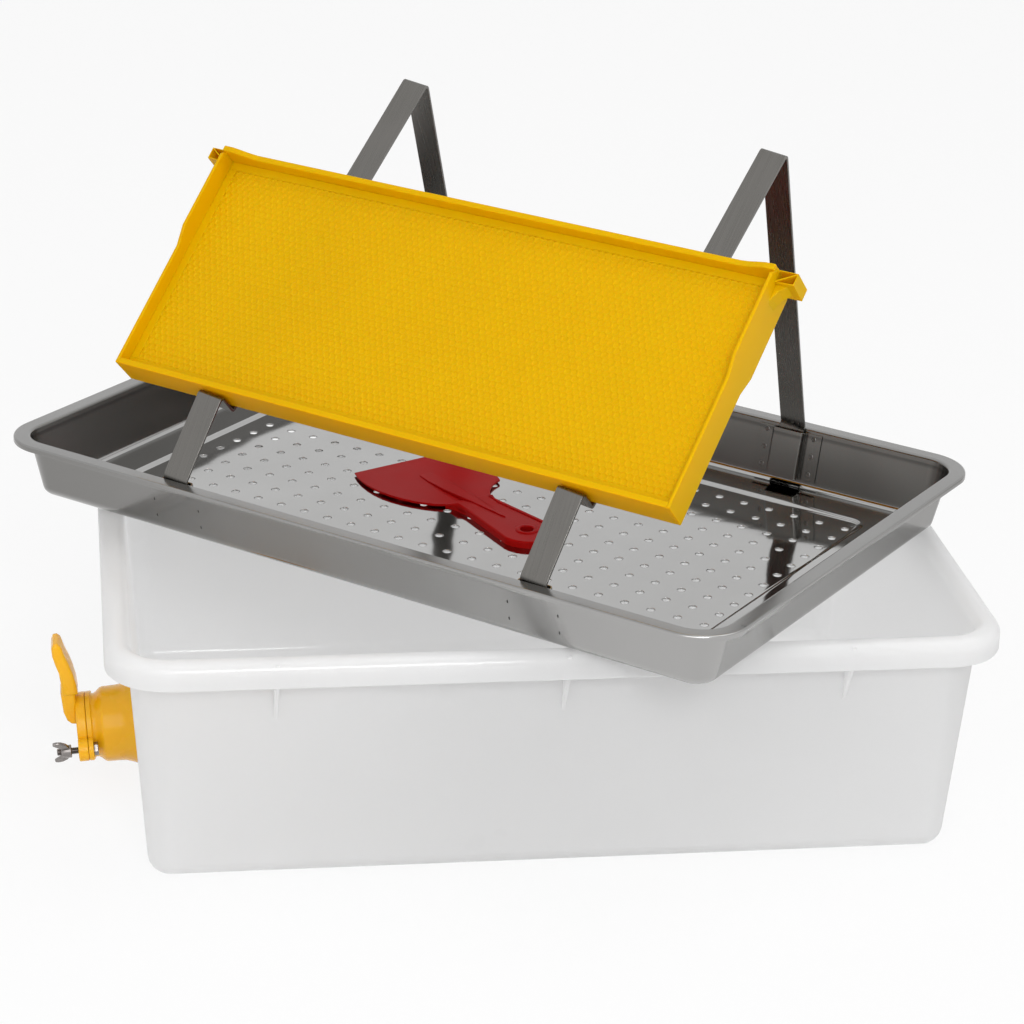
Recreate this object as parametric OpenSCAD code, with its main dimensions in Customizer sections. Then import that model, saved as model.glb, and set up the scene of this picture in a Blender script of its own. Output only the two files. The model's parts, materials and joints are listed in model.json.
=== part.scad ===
// Uncapping tank for honey frames: a plastic tub with a honey gate, a perforated steel tray
// that drains into it, and two bent rests in the tray that hold a hive frame at a slope.
// Millimetres, +Z up. The origin is the middle of the tub's underside, +X runs along the tub,
// and the gate is on the -X end.

/* [Tub] */
// Length over the rim
tub_len = 600; // [560:1:640]
// Width over the rim
tub_wid = 400; // [380:1:430]
// Height to the top of the rim
tub_h = 170; // [160:1:185]
// Wall and floor thickness
tub_wall = 3; // [2.5:0.1:3.5]
// Draft of the walls in degrees
tub_draft = 4.5; // [3:0.5:5]
// Width of the turned-over rim
rim_w = 17; // [15:0.5:20]
// Height of the rim's turned-down lip
lip_h = 18; // [16:1:22]
// Radius of the floor's corners
tub_floor_r = 12; // [11:1:24]
// Spacing of the gussets under the rim
gusset_pitch = 190; // [150:5:200]

/* [Honey gate] */
// Height of the gate's axis at the wall
gate_z = 43.5; // [38:0.5:46]
// Place of the gate across the wall
gate_y = -18; // [-40:1:40]
// Diameter of the gate's bore
gate_bore_d = 38; // [34:1:39]
// Length of the barrel from the seal to its face
barrel_len = 33; // [31:1:38]
// Thickness of the blade that closes the bore
blade_t = 7; // [5:0.5:8]
// Radius at which the two bolts stand
ear_r = 28; // [28:0.5:30]
// Turn of the two bolts from level, in degrees
ear_turn = 10; // [0:1:20]

/* [Tray] */
// Length over the tray's flange
tray_len = 596; // [570:1:620]
// Width over the tray's flange
tray_wid = 387; // [375:1:400]
// Height from the panel's underside to the flange
tray_h = 46.5; // [42:0.5:52]
// Sheet thickness
sheet = 1; // [0.8:0.1:1.2]
// Width of the flat flange
flange_w = 12; // [9:0.5:14]
// Lean of the walls in degrees
wall_lean = 13; // [10:0.5:15]
// Radius of the floor's corners
tray_floor_r = 14; // [10:1:20]
// Width of the plain ledge round the panel
ledge_w = 31; // [26:1:38]
// Depth that the perforated panel is pressed down
panel_drop = 2; // [1.5:0.5:4]
// Diameter of a drain hole
hole_d = 5.5; // [4:0.5:8]
// Spacing of the drain holes
hole_pitch = 20.6; // [18:0.2:26]

/* [Tray on the tub] */
// Place of the tray along the tub
tray_x = -19; // [-30:1:10]
// Place of the tray across the tub
tray_y = 47; // [20:1:50]
// Turn of the tray on the tub, in degrees
tray_turn = -40.7; // [-45:0.1:-36]

/* [Frame rests] */
// Distance between the two rests
rest_pitch = 294; // [260:1:320]
// Distance from the middle of the tray to the middle of the rests
rest_shift = 3.5; // [0:0.5:6]
// Width of the strip
strip_w = 20; // [16:1:22]
// Thickness of the strip
strip_t = 2; // [1.5:0.1:2.5]
// Distance of the notch in front of the tray's middle
notch_front = 132; // [124:1:136]
// Height of the notch over the panel
notch_h = 87; // [80:1:92]
// Slope of the long arm in degrees
arm_slope = 44.2; // [42:0.1:48]
// Length of the long arm
arm_len = 284; // [250:1:290]
// Depth of the ledge that the frame stands on
notch_len = 21; // [16:1:24]
// Sideways lean of the rests in their loose sleeves, in degrees
rest_lean = 6; // [0:0.5:7]
// Room behind a sleeve for the strip
sleeve_gap = 6; // [5.5:0.1:7]

/* [Hive frame] */
// Length over the side bars
frame_len = 452; // [420:1:456]
// Height from the bottom bar to the top bar
frame_h = 182; // [155:1:190]
// Depth of the bars
frame_t = 25; // [22:1:28]
// Depth of the spacing shoulders
shoulder_t = 35; // [32:1:38]
// Wall of the moulding
frame_wall = 4.5; // [3.5:0.5:5]
// Wall of the side bars
side_wall = 2.5; // [2:0.5:4]
// Length of a lug
lug_len = 14; // [12:1:20]
// Thickness of the foundation sheet
sheet_t = 4; // [3:0.5:5]

/* [Scraper] */
// Width of the blade
scraper_w = 104; // [90:1:110]
// Length of the blade ahead of the neck
scraper_blade = 97; // [85:1:100]
// Length of the handle behind the neck
scraper_handle = 88; // [70:1:92]

/* [Hidden] */

$fn = 48;
lap = 0.5;

function arc(centre, r, from, to, n = 6) =
    [for (i = [0:n]) centre + r * [cos(from + (to - from) * i / n), sin(from + (to - from) * i / n)]];

// Tub: its section is drawn from the axis of a corner outwards
tub_inset = (tub_h - tub_wall) * tan(tub_draft);
tub_r = tub_floor_r + tub_inset + rim_w;
tub_fillet = 6;
base_fillet = 10;
tub_edge = 1;
rim_round = 8;
rim_in_round = 7;
gusset_t = 3;
gusset_h = 49;
function tub_in(z) = tub_r - rim_w - (tub_h - z) * tan(tub_draft);
function tub_out(z) = tub_in(z) + tub_wall;

// Gate: its own Z points out of the drafted wall, and its own X points up the wall
gate_wall_x = tub_len / 2 - tub_r + tub_out(gate_z);
seal_t = 2;
spigot_r = 22.5;
wall_hole_r = spigot_r + 0.4;
nut_r = 28;
nut_t = 8;
nut_grip_r = 2.5;
flare_r = 29.5;
barrel_r = 26.5;
groove_r = 22.5;
gate_flange_t = 3.5;
ear_pad_r = 8;
pivot_r = 3;
ear_web = 0.8;
flange_r = ear_r - pivot_r - ear_web;
stud_r = 2.5;
running = 0.06;
barrel_end = seal_t + barrel_len;
blade_z = barrel_end + 0.2;
blade_face = blade_z + blade_t;
wing_z = blade_face + 5;
pivot_head_h = 3.2;
pivot_nut_r = 5.5;
pivot_nut_h = 4.5;
pivot_tail = 7;
stud_head_r = 4.6;
stud_head_h = 3;
stud_tail = 10;
stud_play = 0.5;
handle_len = 70;
handle_out = 12;
handle_w = 22;
blade_slot_turn = 14;

// Tray: its section is drawn in the same way
tray_taper = (tray_h - panel_drop - sheet) * tan(wall_lean);
tray_r = tray_floor_r + tray_taper + flange_w;
tray_edge = 5;
tray_fillet = 4;
flange_lip = 4;
flange_round = 1.5;
panel_len = tray_len - 2 * (flange_w + tray_taper + ledge_w);
panel_wid = tray_wid - 2 * (flange_w + tray_taper + ledge_w);
panel_r = 12;
hole_margin = 9;
hole_cols = floor((panel_len - 2 * hole_margin) / hole_pitch) + 1;
hole_rows = floor((panel_wid - 2 * hole_margin) / hole_pitch) + 1;
wall_sheet = sheet / cos(wall_lean);
function tray_in(z) = tray_r - flange_w - (tray_h - z) * tan(wall_lean);
tray_seat = 0.05;

// Sleeves and rests, in the tray's own frame with Y across the tray
wall_top = tray_wid / 2 - flange_w;
sleeve_top = 3.5;
sleeve_foot = panel_drop + sheet + tray_fillet + 1.5;
sleeve_h = (tray_h - sleeve_top - sleeve_foot) / cos(wall_lean);
sleeve_flange = 14;
strip_fit = 0.3;
insert_depth = (sleeve_gap - strip_t - 3 * strip_fit) / tan(wall_lean);
sleeve_w = strip_w + insert_depth * tan(rest_lean) + 2;
insert_y = wall_top - strip_t / 2 - 2 * strip_fit;
insert_low = sleeve_top + insert_depth;
notch = [-notch_front, notch_h];
arm_dir = [cos(arm_slope), sin(arm_slope)];
arm_up = [-sin(arm_slope), cos(arm_slope)];
peak = notch + notch_len * arm_up;
apex = notch + arm_len * arm_dir;
front_bend = [-insert_y, tray_h + 1];
rear_bend = [insert_y, tray_h + 1];
insert_step = [insert_low * tan(wall_lean), -insert_low];
rest_path = [front_bend + insert_step, front_bend, peak, notch, apex, rear_bend,
    rear_bend + [-insert_step[0], insert_step[1]]];
lean_z = tray_h - sleeve_top - insert_depth / 2;

// Hive frame, in its own frame: Y points to the rests and Z up along the arms
lean_room = strip_w / 2 * sin(rest_lean) * cos(arm_slope);
frame_gap = strip_t / 2 + lean_room + 0.3;
frame_foot = notch + frame_gap * arm_dir + frame_gap * arm_up;
shoulder_z = 0.54 * frame_h;
shoulder_out = (shoulder_t - frame_t) / 2;
shoulder_top = frame_h - 2;
lug_h = 9;
lug_t = 20;
lug_wall = 1.5;
flare_len = 28;
flare_end = 8;
frame_slide = 2;
rim_seat = 0.2;

// Scraper, in its own frame: X runs from the neck to the end of the handle
scraper_place = [-13.3, -1.6];
scraper_turn = -22;
scraper_blade_t = 1.6;
blade_lift = 1.4;
scraper_handle_t = 5;
neck_w = 30;
grip_w = 42;
hang_hole_r = 5;
rib_h = 1;
ridge_w = 4;
spine_w = 16;
spine_start = -66;
spine_end = 40;
handle_start = -12;

// A ring of one section with rounded corners of radius r, measured to the section's own axis
module ring(length, width, r) {
    x = length / 2 - r;
    y = width / 2 - r;
    for (turn = [0, 180]) {
        rotate([0, 0, turn]) translate([x, 0, 0]) rotate([90, 0, 0])
            linear_extrude(2 * y, center = true) children();
        rotate([0, 0, turn + 90]) translate([y, 0, 0]) rotate([90, 0, 0])
            linear_extrude(2 * x, center = true) children();
        rotate([0, 0, turn]) translate([x, y, 0]) rotate_extrude(angle = 90) children();
        rotate([0, 0, turn]) translate([-x, y, 0]) rotate([0, 0, 90])
            rotate_extrude(angle = 90) children();
    }
}

module rounded(length, width, r) {
    square([length - 2 * r, width], center = true);
    square([length, width - 2 * r], center = true);
    for (x = [-1, 1], y = [-1, 1])
        translate([x * (length / 2 - r), y * (width / 2 - r)]) circle(r);
}

module tub_section() {
    rise = 1 - sin(tub_draft);
    out_c = [tub_out(base_fillet * rise) - base_fillet * cos(tub_draft), base_fillet];
    in_c = [tub_in(tub_wall + tub_fillet * rise) - tub_fillet * cos(tub_draft), tub_wall + tub_fillet];
    polygon(concat(
        [[tub_edge, 0]],
        arc(out_c, base_fillet, -90, -tub_draft),
        [[tub_out(tub_h - tub_wall), tub_h - tub_wall]],
        [[tub_r - tub_wall, tub_h - tub_wall]],
        [[tub_r - tub_wall, tub_h - lip_h]],
        [[tub_r, tub_h - lip_h]],
        arc([tub_r - rim_round, tub_h - rim_round], rim_round, 0, 90),
        arc([tub_r - rim_w + rim_in_round, tub_h - rim_in_round], rim_in_round, 90, 180),
        arc(in_c, tub_fillet, -tub_draft, -90),
        [[tub_edge, tub_wall]]));
}

module gusset_section() {
    foot = tub_h - gusset_h;
    polygon([
        [tub_out(foot) - lap, foot],
        [tub_r - tub_wall / 2, tub_h - lip_h + tub_wall],
        [tub_r - tub_wall / 2, tub_h - tub_wall / 2],
        [tub_out(tub_h) - lap, tub_h - tub_wall / 2]]);
}

module tub_gussets() {
    for (side = [0, 180], k = [-1:1])
        rotate([0, 0, side]) translate([k * gusset_pitch, tub_wid / 2 - tub_r, 0])
            rotate([0, 0, 90]) rotate([90, 0, 0])
                linear_extrude(gusset_t, center = true) gusset_section();
}

module at_gate() {
    translate([-gate_wall_x, gate_y, gate_z]) rotate([0, -90 - tub_draft, 0]) children();
}

module at_ear(side) {
    rotate([0, 0, -ear_turn]) translate([0, side * ear_r, 0]) children();
}

module tub() {
    floor_len = tub_len - 2 * (tub_r - tub_edge);
    floor_wid = tub_wid - 2 * (tub_r - tub_edge);
    color("whitesmoke") difference() {
        union() {
            ring(tub_len, tub_wid, tub_r) tub_section();
            linear_extrude(tub_wall) rounded(floor_len + lap, floor_wid + lap, tub_edge);
            tub_gussets();
        }
        at_gate() cylinder(r = wall_hole_r, h = 8 * tub_wall, center = true);
    }
}

module gate_body() {
    spigot_end = -(tub_wall + nut_t + 2);
    face = barrel_end - gate_flange_t;
    color("orange") at_gate() difference() {
        union() {
            rotate_extrude() polygon([
                [gate_bore_d / 2, spigot_end], [spigot_r, spigot_end], [spigot_r, seal_t],
                [flare_r, seal_t], [flare_r, seal_t + 2], [barrel_r, seal_t + 6],
                [barrel_r, face - 7], [groove_r, face - 3], [groove_r, face], [flange_r, face],
                [flange_r, barrel_end], [gate_bore_d / 2, barrel_end]]);
            for (side = [-1, 1]) difference() {
                at_ear(side) translate([0, 0, face]) cylinder(r = ear_pad_r, h = gate_flange_t);
                translate([0, 0, face - lap]) cylinder(r = flange_r - lap, h = gate_flange_t + 2 * lap);
            }
        }
        at_ear(1) translate([0, 0, face - 1]) cylinder(r = pivot_r, h = gate_flange_t + 2);
        at_ear(-1) translate([0, 0, face - 1]) cylinder(r = stud_r, h = gate_flange_t + 2);
    }
}

module gate_seal() {
    color("dimgray") at_gate() difference() {
        cylinder(r = flare_r - 1, h = seal_t);
        translate([0, 0, -1]) cylinder(r = spigot_r + 0.1, h = seal_t + 2);
    }
}

module gate_lock_nut() {
    color("orange") at_gate() translate([0, 0, -tub_wall - nut_t]) difference() {
        cylinder(r = nut_r, h = nut_t);
        translate([0, 0, -1]) cylinder(r = spigot_r, h = nut_t + 2);
        for (k = [0:7])
            rotate([0, 0, k * 45]) translate([nut_r, 0, -1]) cylinder(r = nut_grip_r, h = nut_t + 2);
    }
}

// The handle's S curve, seen from the side: X up the wall, Y out of it
module handle_section() {
    len = handle_len;
    out = handle_out;
    translate([0, blade_face]) polygon([
        [0.08 * len, -lap], [0.1 * len, 0.33 * out], [0.23 * len, 0.67 * out], [0.63 * len, 0.75 * out],
        [0.81 * len, 0.96 * out], [0.97 * len, out], [len, 0.75 * out], [0.99 * len, 0.46 * out],
        [0.82 * len, 0.21 * out], [0.64 * len, 0], [0.44 * len, -0.17 * out], [0.3 * len, -0.17 * out]]);
}

module gate_blade() {
    slot_in = 2 * ear_r - stud_r - stud_play;
    color("orange") at_gate() difference() {
        union() {
            translate([0, 0, blade_z]) cylinder(r = flange_r, h = blade_t);
            for (side = [-1, 1])
                at_ear(side) translate([0, 0, blade_z]) cylinder(r = ear_pad_r, h = blade_t);
            rotate([90, 0, 0]) linear_extrude(handle_w, center = true) handle_section();
        }
        at_ear(1) translate([0, 0, blade_z - 1]) cylinder(r = pivot_r + running, h = blade_t + 2);
        at_ear(-1) translate([0, 0, blade_z - 1]) cylinder(r = stud_r + stud_play, h = blade_t + 2);
        at_ear(1) translate([0, 0, blade_z - 1]) rotate([0, 0, -90 - blade_slot_turn])
            rotate_extrude(angle = blade_slot_turn)
                translate([slot_in, 0]) square([2 * (stud_r + stud_play), blade_t + 2]);
    }
}

module gate_pivot_bolt() {
    head_z = barrel_end - gate_flange_t - pivot_head_h;
    color("silver") at_gate() at_ear(1) {
        translate([0, 0, head_z]) cylinder(r = pivot_r + 2, h = pivot_head_h, $fn = 6);
        translate([0, 0, head_z]) cylinder(r = pivot_r, h = blade_face + pivot_tail - head_z);
    }
}

module gate_pivot_nut() {
    color("silver") at_gate() at_ear(1) translate([0, 0, blade_face + 0.3]) difference() {
        cylinder(r = pivot_nut_r, h = pivot_nut_h, $fn = 6);
        translate([0, 0, -1]) cylinder(r = pivot_r, h = pivot_nut_h + 2);
    }
}

module gate_clamp_stud() {
    head_z = barrel_end - gate_flange_t - stud_head_h;
    color("silver") at_gate() at_ear(-1) {
        translate([0, 0, head_z]) cylinder(r = stud_head_r, h = stud_head_h, $fn = 6);
        translate([0, 0, head_z]) cylinder(r = stud_r, h = wing_z + stud_tail - head_z);
    }
}

module gate_wing_nut() {
    hub_r = 4.6;
    hub_h = 7;
    wing_t = 2.4;
    wing_turn = -23;
    color("silver") at_gate() at_ear(-1) translate([0, 0, wing_z]) rotate([0, 0, wing_turn]) difference() {
        union() {
            cylinder(r = hub_r, h = hub_h);
            rotate([90, 0, 0]) linear_extrude(wing_t, center = true) for (side = [-1, 1])
                polygon([[side * 2, 1], [side * 6, 1], [side * 12, 7], [side * 12.5, 11.5],
                    [side * 10, 12.5], [side * 6.5, 9], [side * 3, hub_h]]);
        }
        translate([0, 0, -1]) cylinder(r = stud_r + running, h = 20);
    }
}

module on_tray() {
    translate([tray_x, tray_y, tub_h + tray_seat]) rotate([0, 0, tray_turn]) children();
}

module tray_section() {
    low = panel_drop;
    bend_z = low + sheet + tray_fillet * (1 - sin(wall_lean));
    out_c = [tray_in(bend_z) - tray_fillet * cos(wall_lean), low + sheet + tray_fillet];
    polygon(concat(
        [[tray_edge, low]],
        arc(out_c, tray_fillet + sheet, -90, -wall_lean),
        [[tray_in(tray_h - sheet) + wall_sheet, tray_h - sheet]],
        [[tray_r - sheet, tray_h - sheet]],
        [[tray_r - sheet, tray_h - flange_lip]],
        [[tray_r, tray_h - flange_lip]],
        arc([tray_r - flange_round, tray_h - flange_round], flange_round, 0, 90, 3),
        [[tray_r - flange_w, tray_h]],
        arc(out_c, tray_fillet, -wall_lean, -90),
        [[tray_edge, low + sheet]]));
}

module step_section() {
    low = panel_r - panel_drop;
    skew = 0.414 * sheet;
    polygon([
        [panel_r + 1, panel_drop + sheet], [panel_r, panel_drop + sheet], [low, sheet], [low - 1, sheet],
        [low - 1, 0], [low + skew, 0], [panel_r + skew, panel_drop], [panel_r + 1, panel_drop]]);
}

module drain_panel() {
    low_len = panel_len - 2 * panel_drop;
    low_wid = panel_wid - 2 * panel_drop;
    x0 = -(hole_cols - 1) / 2 * hole_pitch;
    y0 = -(hole_rows - 1) / 2 * hole_pitch;
    linear_extrude(sheet) difference() {
        rounded(low_len - lap, low_wid - lap, panel_r - panel_drop);
        for (i = [0:hole_cols - 1], k = [0:hole_rows - 1])
            translate([x0 + i * hole_pitch, y0 + k * hole_pitch]) circle(d = hole_d, $fn = 16);
    }
}

module tray_ledge() {
    ledge_len = tray_len - 2 * (tray_r - tray_edge) + lap;
    ledge_wid = tray_wid - 2 * (tray_r - tray_edge) + lap;
    translate([0, 0, panel_drop]) linear_extrude(sheet) difference() {
        rounded(ledge_len, ledge_wid, tray_edge);
        rounded(panel_len + lap, panel_wid + lap, panel_r + lap / 2);
    }
}

module tray() {
    color("lightgray") on_tray() translate([-rest_shift, 0, 0]) {
        ring(tray_len, tray_wid, tray_r) tray_section();
        tray_ledge();
        ring(panel_len, panel_wid, panel_r) step_section();
        drain_panel();
    }
}

// A hat section on the inside of the rear wall: X along the wall, -Y into the tray
module sleeve(x) {
    half = sleeve_w / 2;
    edge = half + sleeve_flange;
    translate([x, wall_top - (tray_h - sleeve_foot) * tan(wall_lean), sleeve_foot])
        rotate([-wall_lean, 0, 0]) mirror([0, 1, 0]) linear_extrude(sleeve_h) polygon([
            [-edge, 0], [-half, 0], [-half, sleeve_gap], [half, sleeve_gap], [half, 0], [edge, 0],
            [edge, sheet], [half + sheet, sheet], [half + sheet, sleeve_gap + sheet],
            [-half - sheet, sleeve_gap + sheet], [-half - sheet, sheet], [-edge, sheet]]);
}

module rear_left_sleeve() {
    color("silver") on_tray() sleeve(-rest_pitch / 2);
}

module rear_right_sleeve() {
    color("silver") on_tray() sleeve(rest_pitch / 2);
}

module front_left_sleeve() {
    color("silver") on_tray() rotate([0, 0, 180]) sleeve(rest_pitch / 2);
}

module front_right_sleeve() {
    color("silver") on_tray() rotate([0, 0, 180]) sleeve(-rest_pitch / 2);
}

function unit(v) = v / norm(v);
function side_of(a, b) = [-unit(b - a)[1], unit(b - a)[0]];
function mitre(before, after) = (before + after) / (1 + before * after);
function strip_side(path, out) = [for (i = [0:len(path) - 1]) path[i] + out * (
    i == 0 ? side_of(path[0], path[1]) :
    i == len(path) - 1 ? side_of(path[i - 1], path[i]) :
    mitre(side_of(path[i - 1], path[i]), side_of(path[i], path[i + 1])))];
function reversed(list) = [for (i = [len(list) - 1:-1:0]) list[i]];

module frame_rest(x) {
    outline = concat(strip_side(rest_path, strip_t / 2), reversed(strip_side(rest_path, -strip_t / 2)));
    translate([x, 0, lean_z]) rotate([0, rest_lean, 0]) translate([0, 0, -lean_z])
        rotate([90, 0, 90]) linear_extrude(strip_w, center = true) polygon(outline);
}

module frame_rest_left() {
    color("gray") on_tray() frame_rest(-rest_pitch / 2);
}

module frame_rest_right() {
    color("gray") on_tray() frame_rest(rest_pitch / 2);
}

module on_rests() {
    on_tray() translate([frame_slide, frame_foot[0], frame_foot[1]])
        rotate([arm_slope - 90, 0, 0]) children();
}

// One end bar with its spacing shoulder, seen along the frame: X to the rests, Y up
module side_bar_section() {
    low = -frame_t;
    polygon([
        [low, 0], [0, 0], [0, shoulder_z], [shoulder_out, shoulder_z + 3 * shoulder_out],
        [shoulder_out, shoulder_top - shoulder_out], [0, shoulder_top], [0, frame_h], [low, frame_h],
        [low, shoulder_top], [low - shoulder_out, shoulder_top - shoulder_out],
        [low - shoulder_out, shoulder_z + 3 * shoulder_out], [low, shoulder_z]]);
}

// A lug is an open box with one diagonal rib, open towards the front
module lug() {
    inner = lug_len - lug_wall;
    top = lug_h - lug_wall;
    translate([-lap, -frame_t / 2, frame_h - lug_h]) difference() {
        translate([0, -lug_t / 2, 0]) cube([lug_len + lap, lug_t, lug_h]);
        translate([0, lug_t / 2 - lug_wall, 0]) rotate([90, 0, 0]) linear_extrude(lug_t) {
            polygon([[lug_wall, 2 * lug_wall], [lug_wall, top], [inner - lug_wall, top]]);
            polygon([[2 * lug_wall, lug_wall], [inner, lug_wall], [inner, top - lug_wall]]);
        }
    }
}

// The top bar widens to the depth of the shoulders at both ends
module top_bar() {
    half = frame_len / 2 - lap;
    mid = frame_t / 2;
    wide = shoulder_t / 2;
    right = [[half - flare_len, mid], [half - flare_end, wide], [half, wide]];
    translate([0, -mid, frame_h - frame_wall]) linear_extrude(frame_wall) polygon(concat(
        right, [for (p = [right[2], right[1], right[0]]) [p[0], -p[1]]],
        [for (p = right) [-p[0], -p[1]]], [for (p = [right[2], right[1], right[0]]) [-p[0], p[1]]]));
}

module hive_frame() {
    half = frame_len / 2;
    color("gold") on_rests() {
        for (side = [0, 1]) mirror([side, 0, 0]) {
            translate([half - side_wall, 0, 0]) rotate([90, 0, 90])
                linear_extrude(side_wall) side_bar_section();
            translate([half, 0, 0]) lug();
        }
        translate([-half + lap, -frame_t, 0]) cube([frame_len - 2 * lap, frame_t, frame_wall]);
        top_bar();
    }
}

module foundation_sheet() {
    inner_len = frame_len - 2 * (side_wall + rim_seat);
    inner_h = frame_h - 2 * (frame_wall + rim_seat);
    color("gold") on_rests()
        translate([-inner_len / 2, -(frame_t + sheet_t) / 2, frame_wall + rim_seat])
            cube([inner_len, sheet_t, inner_h]);
}

module scraper_outline() {
    half = scraper_w / 2;
    neck = neck_w / 2;
    grip = grip_w / 2;
    polygon(concat(
        [[-scraper_blade, -half + 1], [-scraper_blade, half - 1], [-0.6 * scraper_blade, half]],
        arc([neck - 4, half + 4], half + 4 - neck, 200, 270),
        [[scraper_handle - grip, grip]],
        arc([scraper_handle - grip, 0], grip, 90, -90, 12),
        arc([neck - 4, -half - 4], half + 4 - neck, 90, 160),
        [[-0.6 * scraper_blade, -half]]));
}

module scraper() {
    neck = neck_w / 2;
    grip = grip_w / 2;
    end = scraper_handle - grip;
    rib_top = scraper_handle_t + rib_h;
    hole_x = scraper_handle - 0.55 * grip_w;
    color("firebrick") on_tray() translate([scraper_place[0], scraper_place[1], sheet + tray_seat])
        rotate([0, 0, scraper_turn]) difference() {
            union() {
                translate([0, 0, blade_lift]) linear_extrude(scraper_blade_t) scraper_outline();
                linear_extrude(scraper_handle_t) intersection() {
                    scraper_outline();
                    translate([handle_start, -grip_w]) square([scraper_handle + 20, 2 * grip_w]);
                }
                translate([0, 0, blade_lift + lap]) linear_extrude(rib_top - blade_lift - lap) {
                    polygon([[spine_start, -spine_w / 2], [spine_start, spine_w / 2], [spine_end, 0]]);
                    polygon([[0, neck - ridge_w], [end, grip - ridge_w], [end, grip], [neck, neck]]);
                }
            }
            translate([hole_x, 0, -1]) cylinder(r = hang_hole_r, h = scraper_handle_t + 2);
        }
}

tub();
gate_body();
gate_seal();
gate_lock_nut();
gate_blade();
gate_pivot_bolt();
gate_pivot_nut();
gate_clamp_stud();
gate_wing_nut();
tray();
front_left_sleeve();
front_right_sleeve();
rear_left_sleeve();
rear_right_sleeve();
frame_rest_left();
frame_rest_right();
hive_frame();
foundation_sheet();
scraper();
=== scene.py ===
import json
import math

import bmesh
import bpy
from mathutils import Matrix, Vector


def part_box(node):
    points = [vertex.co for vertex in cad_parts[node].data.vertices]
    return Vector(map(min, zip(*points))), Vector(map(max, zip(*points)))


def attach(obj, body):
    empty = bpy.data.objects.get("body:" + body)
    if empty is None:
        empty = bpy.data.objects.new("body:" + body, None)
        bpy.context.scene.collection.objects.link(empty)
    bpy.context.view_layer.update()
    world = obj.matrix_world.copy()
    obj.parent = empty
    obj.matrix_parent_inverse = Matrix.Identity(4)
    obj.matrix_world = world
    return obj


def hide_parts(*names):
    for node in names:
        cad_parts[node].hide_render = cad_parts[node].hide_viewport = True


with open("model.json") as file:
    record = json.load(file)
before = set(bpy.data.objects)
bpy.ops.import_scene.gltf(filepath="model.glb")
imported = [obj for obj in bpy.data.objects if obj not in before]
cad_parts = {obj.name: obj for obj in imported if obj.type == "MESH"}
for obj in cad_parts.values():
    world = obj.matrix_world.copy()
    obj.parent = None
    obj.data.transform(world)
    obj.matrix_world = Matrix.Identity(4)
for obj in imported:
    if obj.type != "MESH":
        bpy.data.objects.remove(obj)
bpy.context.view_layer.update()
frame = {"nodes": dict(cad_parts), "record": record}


# The tub is one deep moulding of white, slightly translucent food plastic. Its walls lean with the
# draft of the mould, its rim is turned over and down, and thin webs stiffen the rim's long sides.
class Wire:
    """An output socket of a shader. Sums on it become Math nodes in the same tree."""

    def __init__(self, tree, socket=None):
        self.tree = tree
        self.socket = socket

    def plug(self, value, socket):
        if isinstance(value, Wire):
            self.tree.links.new(value.socket, socket)
        else:
            socket.default_value = value

    def node(self, kind, settings=None, inputs=None, output=0):
        made = self.tree.nodes.new(kind)
        for key, value in (settings or {}).items():
            if key == "stops":
                stops = made.color_ramp.elements
                while len(stops) < len(value):
                    stops.new(1.0)
                for stop, (place, shade) in zip(stops, value):
                    stop.position = place
                    stop.color = (*shade, 1.0)
            else:
                setattr(made, key, value)
        for key, value in (inputs or {}).items():
            self.plug(value, made.inputs[key])
        return Wire(self.tree, made.outputs[output] if made.outputs else None)

    def sum(self, operation, first, second):
        return self.node("ShaderNodeMath", {"operation": operation}, {0: first, 1: second})

    def __add__(self, other):
        return self.sum("ADD", self, other)

    def __radd__(self, other):
        return self.sum("ADD", other, self)

    def __sub__(self, other):
        return self.sum("SUBTRACT", self, other)

    def __rsub__(self, other):
        return self.sum("SUBTRACT", other, self)

    def __mul__(self, other):
        return self.sum("MULTIPLY", self, other)

    def __rmul__(self, other):
        return self.sum("MULTIPLY", other, self)


def finish(name, fixed):
    """A material, the Principled surface that it shows, and a wire to draw its pattern with."""
    material = bpy.data.materials.new(name)
    material.use_nodes = True
    surface = material.node_tree.nodes["Principled BSDF"]
    for socket, value in fixed.items():
        surface.inputs[socket].default_value = value
    return material, surface.inputs, Wire(material.node_tree)


def grain(wire, scale, detail=2.0, stretch=(1.0, 1.0, 1.0), turn=(0.0, 0.0, 0.0)):
    """Noise on Object coordinates, from 0 to 1, drawn out along an axis by a small stretch."""
    place = wire.node("ShaderNodeTexCoord", output="Object")
    turned = wire.node("ShaderNodeMapping", {}, {"Vector": place, "Rotation": turn})
    drawn = wire.node("ShaderNodeMapping", {}, {"Vector": turned, "Scale": stretch})
    return wire.node("ShaderNodeTexNoise", {}, {"Vector": drawn, "Scale": scale, "Detail": detail})


def shades(wire, mask, low, high):
    """A colour between low and high, each a colour or a wire, by the mask."""
    low, high = (c if isinstance(c, Wire) else (*c, 1.0) for c in (low, high))
    return wire.node("ShaderNodeMix", {"data_type": "RGBA"}, {0: mask, 6: low, 7: high}, output=2)


def relief(wire, height, strength, depth):
    return wire.node("ShaderNodeBump", {},
                     {"Strength": strength, "Distance": depth, "Height": height})


def lit_through(wire, share, colour):
    """Lets a share of the light through the surface, tinted with a colour."""
    skin = Wire(wire.tree, wire.tree.nodes["Principled BSDF"].outputs[0])
    through = wire.node("ShaderNodeBsdfTranslucent", {}, {"Color": (*colour, 1.0)})
    mixed = wire.node("ShaderNodeMixShader", {}, {0: share, 1: skin, 2: through})
    wire.plug(mixed, wire.tree.nodes["Material Output"].inputs["Surface"])


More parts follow.
